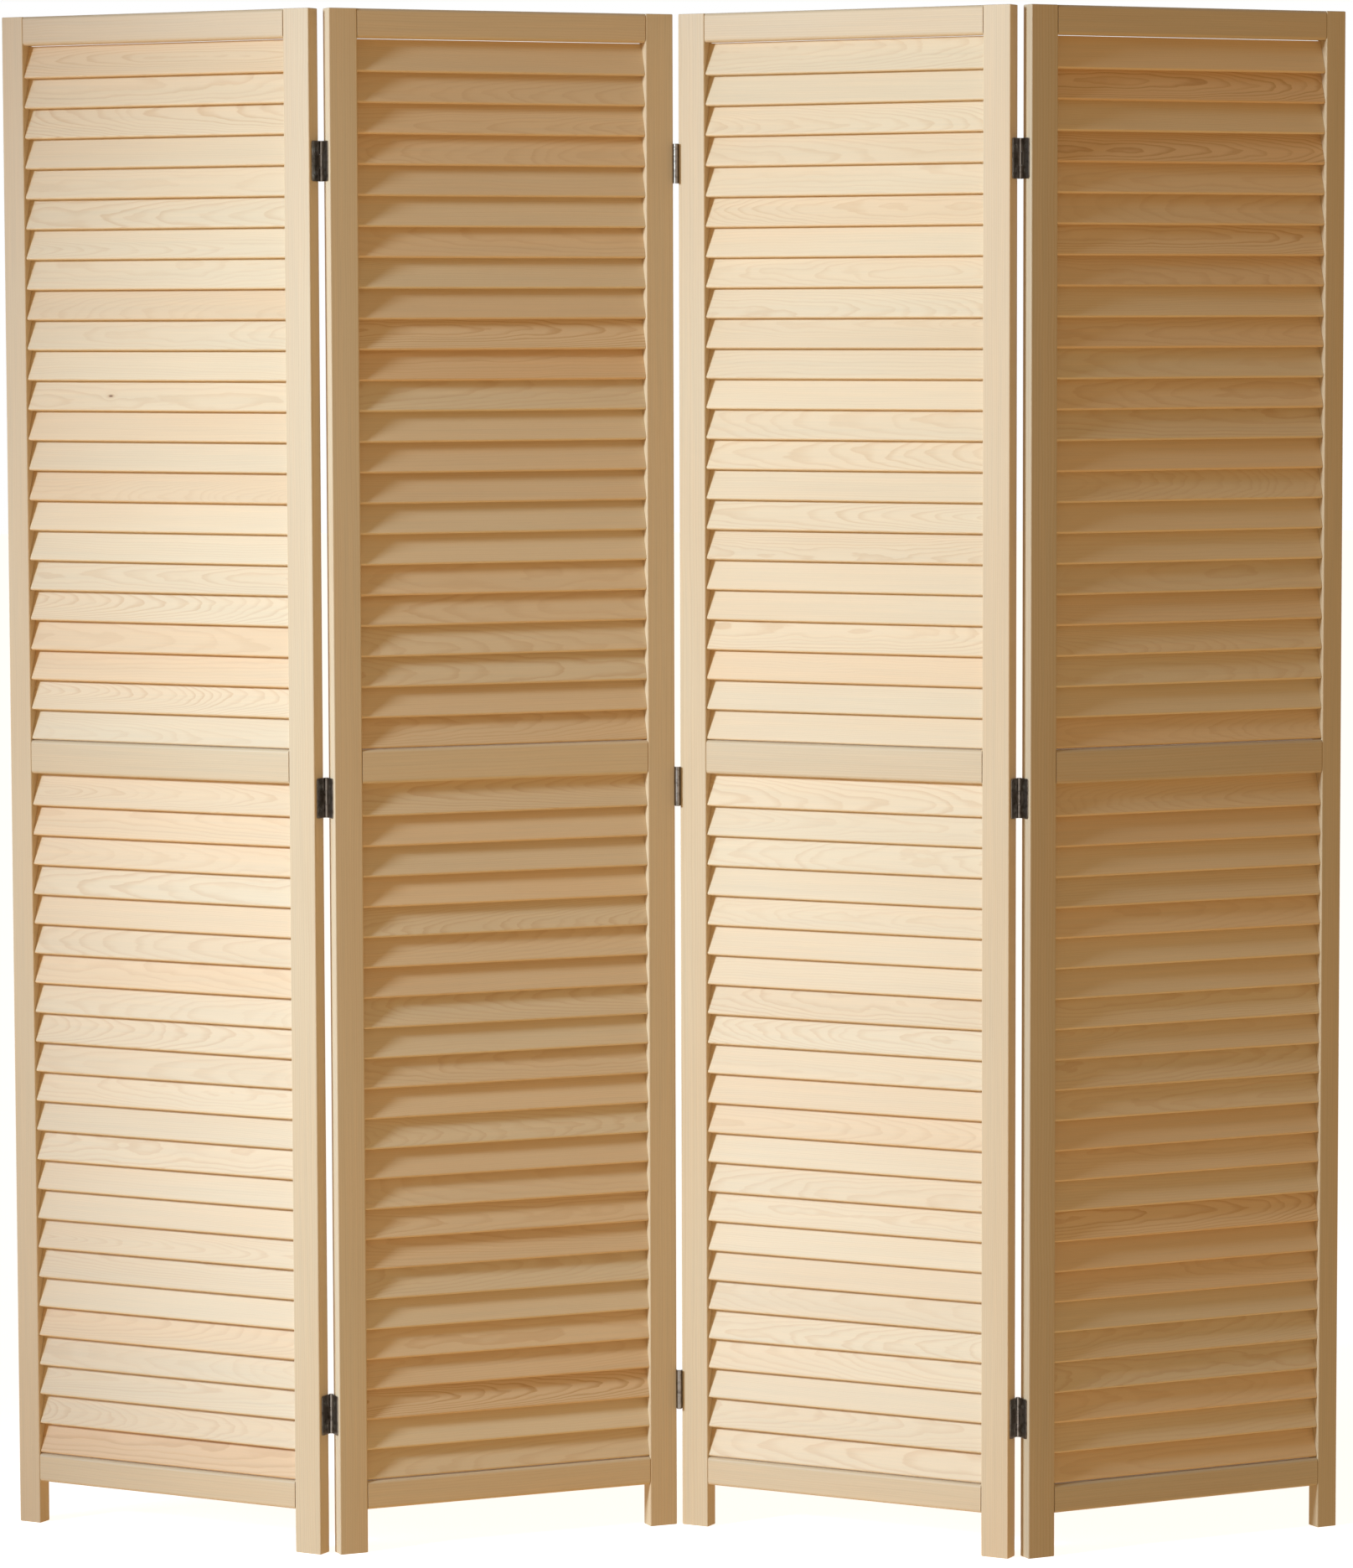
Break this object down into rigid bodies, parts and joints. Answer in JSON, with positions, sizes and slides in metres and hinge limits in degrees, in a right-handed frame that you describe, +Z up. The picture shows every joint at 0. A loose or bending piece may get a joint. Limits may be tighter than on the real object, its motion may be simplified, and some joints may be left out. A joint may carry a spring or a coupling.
{
  "type": "folding louvred room divider",
  "caption": "Folding room divider of hinged softwood panels; each mortised frame holds rows of overlapping tilted slats, and the panels stand in a zigzag or fold flat.",
  "frame": {"origin": "on the floor under the middle of the screen's box as it stands", "axes": "+X along the screen from panel 1 to panel 4, +Y from its front to its back, +Z up"},
  "size_m": [1.4938, 0.2308, 1.7],
  "materials": {
    "pine": "clear satin finish on pale straight-grained softwood",
    "hinge_steel": "bright zinc-plated steel"
  },
  "bodies": {
    "panel_2": {"panel_2_left_stile_with_slats": "pine", "panel_2_right_stile": "pine", "panel_2_bottom_rail": "pine", "panel_2_middle_rail": "pine", "panel_2_top_rail": "pine", "fold_1_2_low_hinge_right_leaf": "hinge_steel", "fold_1_2_middle_hinge_right_leaf": "hinge_steel", "fold_1_2_top_hinge_right_leaf": "hinge_steel", "fold_2_3_low_hinge_left_leaf": "hinge_steel", "fold_2_3_low_hinge_pin": "hinge_steel", "fold_2_3_middle_hinge_left_leaf": "hinge_steel", "fold_2_3_middle_hinge_pin": "hinge_steel", "fold_2_3_top_hinge_left_leaf": "hinge_steel", "fold_2_3_top_hinge_pin": "hinge_steel"},
    "panel_1": {"panel_1_left_stile_with_slats": "pine", "panel_1_right_stile": "pine", "panel_1_bottom_rail": "pine", "panel_1_middle_rail": "pine", "panel_1_top_rail": "pine", "fold_1_2_low_hinge_left_leaf": "hinge_steel", "fold_1_2_low_hinge_pin": "hinge_steel", "fold_1_2_middle_hinge_left_leaf": "hinge_steel", "fold_1_2_middle_hinge_pin": "hinge_steel", "fold_1_2_top_hinge_left_leaf": "hinge_steel", "fold_1_2_top_hinge_pin": "hinge_steel"},
    "panel_3": {"panel_3_left_stile_with_slats": "pine", "panel_3_right_stile": "pine", "panel_3_bottom_rail": "pine", "panel_3_middle_rail": "pine", "panel_3_top_rail": "pine", "fold_2_3_low_hinge_right_leaf": "hinge_steel", "fold_2_3_middle_hinge_right_leaf": "hinge_steel", "fold_2_3_top_hinge_right_leaf": "hinge_steel", "fold_3_4_low_hinge_left_leaf": "hinge_steel", "fold_3_4_low_hinge_pin": "hinge_steel", "fold_3_4_middle_hinge_left_leaf": "hinge_steel", "fold_3_4_middle_hinge_pin": "hinge_steel", "fold_3_4_top_hinge_left_leaf": "hinge_steel", "fold_3_4_top_hinge_pin": "hinge_steel"},
    "panel_4": {"panel_4_left_stile_with_slats": "pine", "panel_4_right_stile": "pine", "panel_4_bottom_rail": "pine", "panel_4_middle_rail": "pine", "panel_4_top_rail": "pine", "fold_3_4_low_hinge_right_leaf": "hinge_steel", "fold_3_4_middle_hinge_right_leaf": "hinge_steel", "fold_3_4_top_hinge_right_leaf": "hinge_steel"}
  },
  "joints": [
    {"name": "fold_1_2", "type": "hinge", "parent": "panel_2", "child": "panel_1", "pos_m": [-0.38101, -0.06688, 0.84], "axis": [0, 0, -1], "range_deg": [-50.5, 129.5]},
    {"name": "fold_2_3", "type": "hinge", "parent": "panel_2", "child": "panel_3", "pos_m": [0.0045, 0.06961, 0.84], "axis": [0, 0, -1], "range_deg": [-50.5, 129.5]},
    {"name": "fold_3_4", "type": "hinge", "parent": "panel_3", "child": "panel_4", "pos_m": [0.37812, -0.0967, 0.84], "axis": [0, 0, 1], "range_deg": [-53, 127]}
  ]
}
